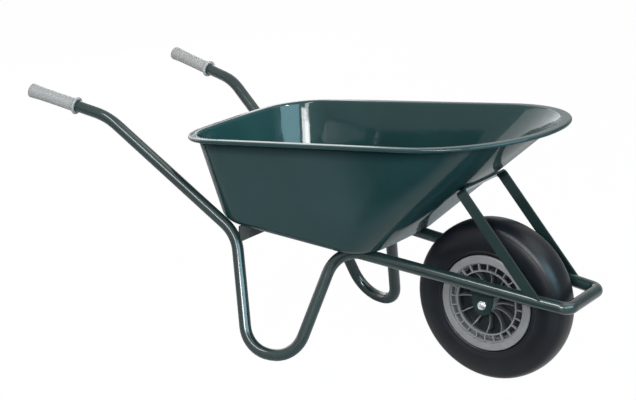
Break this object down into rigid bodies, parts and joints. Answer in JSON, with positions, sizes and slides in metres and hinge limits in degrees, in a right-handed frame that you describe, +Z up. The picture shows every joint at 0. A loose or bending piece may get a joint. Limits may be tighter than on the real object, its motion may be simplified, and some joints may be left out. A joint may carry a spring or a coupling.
{
  "type": "wheelbarrow",
  "caption": "Single-wheel garden barrow: bent tube frame with leg loops and grips, pressed tray with rolled rim, and an air-filled tyre on a ribbed plastic rim.",
  "frame": {"origin": "on the ground, in the middle of the barrow's length and width", "axes": "+X forward to the wheel, +Y to the left as seen from the handles, +Z up"},
  "size_m": [1.4927, 0.617, 0.6454],
  "materials": {
    "frame_paint": "gloss dark green paint on steel",
    "tray_paint": "high-gloss dark green paint on pressed sheet",
    "grip_plastic": "satin light grey",
    "rim_plastic": "satin grey",
    "tyre_rubber": "matte black",
    "tube_rubber": "matte black",
    "cap_plastic": "satin black",
    "bush_plastic": "satin black",
    "zinc_steel": "bright zinc plating"
  },
  "bodies": {
    "frame": {"left_side_tube": "frame_paint", "right_side_tube": "frame_paint", "nose_tube": "frame_paint", "rear_cross_brace": "frame_paint", "tray_lugs": "frame_paint", "front_stay": "frame_paint", "left_axle_hanger": "frame_paint", "right_axle_hanger": "frame_paint", "left_grip": "grip_plastic", "right_grip": "grip_plastic", "tray": "tray_paint", "front_tray_bolts": "zinc_steel", "rear_tray_bolts": "zinc_steel", "tray_washers": "zinc_steel", "rail_inserts": "zinc_steel", "nut_washers": "zinc_steel", "rear_tray_nuts": "zinc_steel", "axle_bolt": "zinc_steel", "axle_nut": "zinc_steel", "axle_washers": "zinc_steel", "axle_sleeve": "zinc_steel"},
    "wheel": {"left_wheel_bush": "bush_plastic", "right_wheel_bush": "bush_plastic", "wheel_rim": "rim_plastic", "tyre": "tyre_rubber", "inner_tube": "tube_rubber", "valve_stem": "tube_rubber", "valve_cap": "cap_plastic"}
  },
  "joints": [
    {"name": "wheel_spin", "type": "hinge", "parent": "frame", "child": "wheel", "pos_m": [0.4995, 0, 0.2], "axis": [0, 1, 0], "continuous": true}
  ]
}
